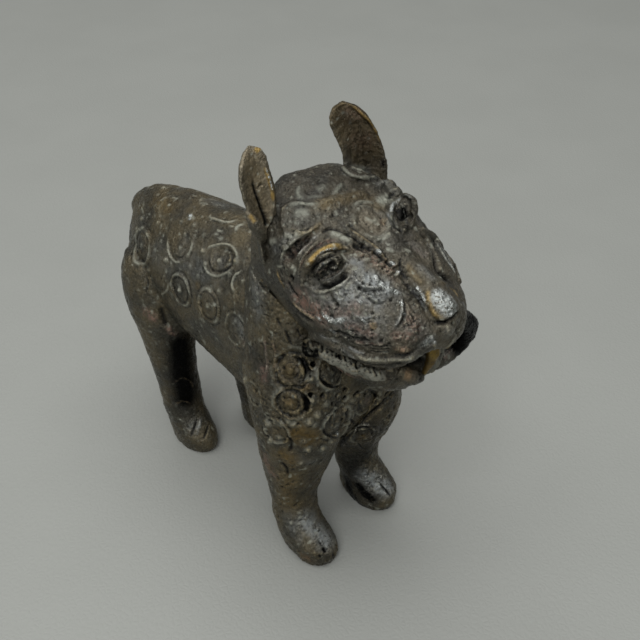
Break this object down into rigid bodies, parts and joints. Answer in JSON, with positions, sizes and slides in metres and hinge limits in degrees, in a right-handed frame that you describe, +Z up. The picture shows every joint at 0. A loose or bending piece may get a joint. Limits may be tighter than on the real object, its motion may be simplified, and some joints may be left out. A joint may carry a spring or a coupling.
{
  "type": "leopard figurine",
  "caption": "Small cast bronze leopard figurine, standing, with a large head, open fanged mouth, upright ears and a hide marked with ring-and-boss rosettes; an ornament.",
  "frame": {"origin": "centre of the bounding box on the ground plane, with the paws standing on z = 0", "axes": "+Z up, the leopard faces -Y, its left side is +X"},
  "size_m": [0.0546, 0.1474, 0.1427],
  "materials": {
    "bronze": "dark brown patina with grey dirt in the recesses",
    "worn_bronze": "worn golden",
    "encrusted_bronze": "pale grey crust",
    "fired_clay": "matt and rough",
    "iron": "rusted"
  },
  "bodies": {
    "root": {"skull": "bronze", "torso": "bronze", "neck": "bronze", "lower_jaw": "bronze", "nose_bridge": "bronze", "foreleg_right": "bronze", "foreleg_left": "bronze", "hindleg_right": "bronze", "hindleg_left": "bronze", "eye_right": "bronze", "eye_left": "bronze", "eyelid_right": "bronze", "eyelid_left": "bronze", "ear_right": "bronze", "ear_left": "bronze", "lip_right": "bronze", "lip_left": "bronze", "fang_upper_right": "worn_bronze", "fang_upper_left": "worn_bronze", "fang_lower_right": "worn_bronze", "fang_lower_left": "worn_bronze", "upper_teeth": "encrusted_bronze", "lower_teeth": "encrusted_bronze", "tongue": "bronze", "tail": "bronze", "clay_core": "fired_clay", "core_pin_belly_front": "iron", "core_pin_belly_rear": "iron", "core_pin_flank_front": "iron", "core_pin_flank_rear": "iron"}
  },
  "joints": []
}
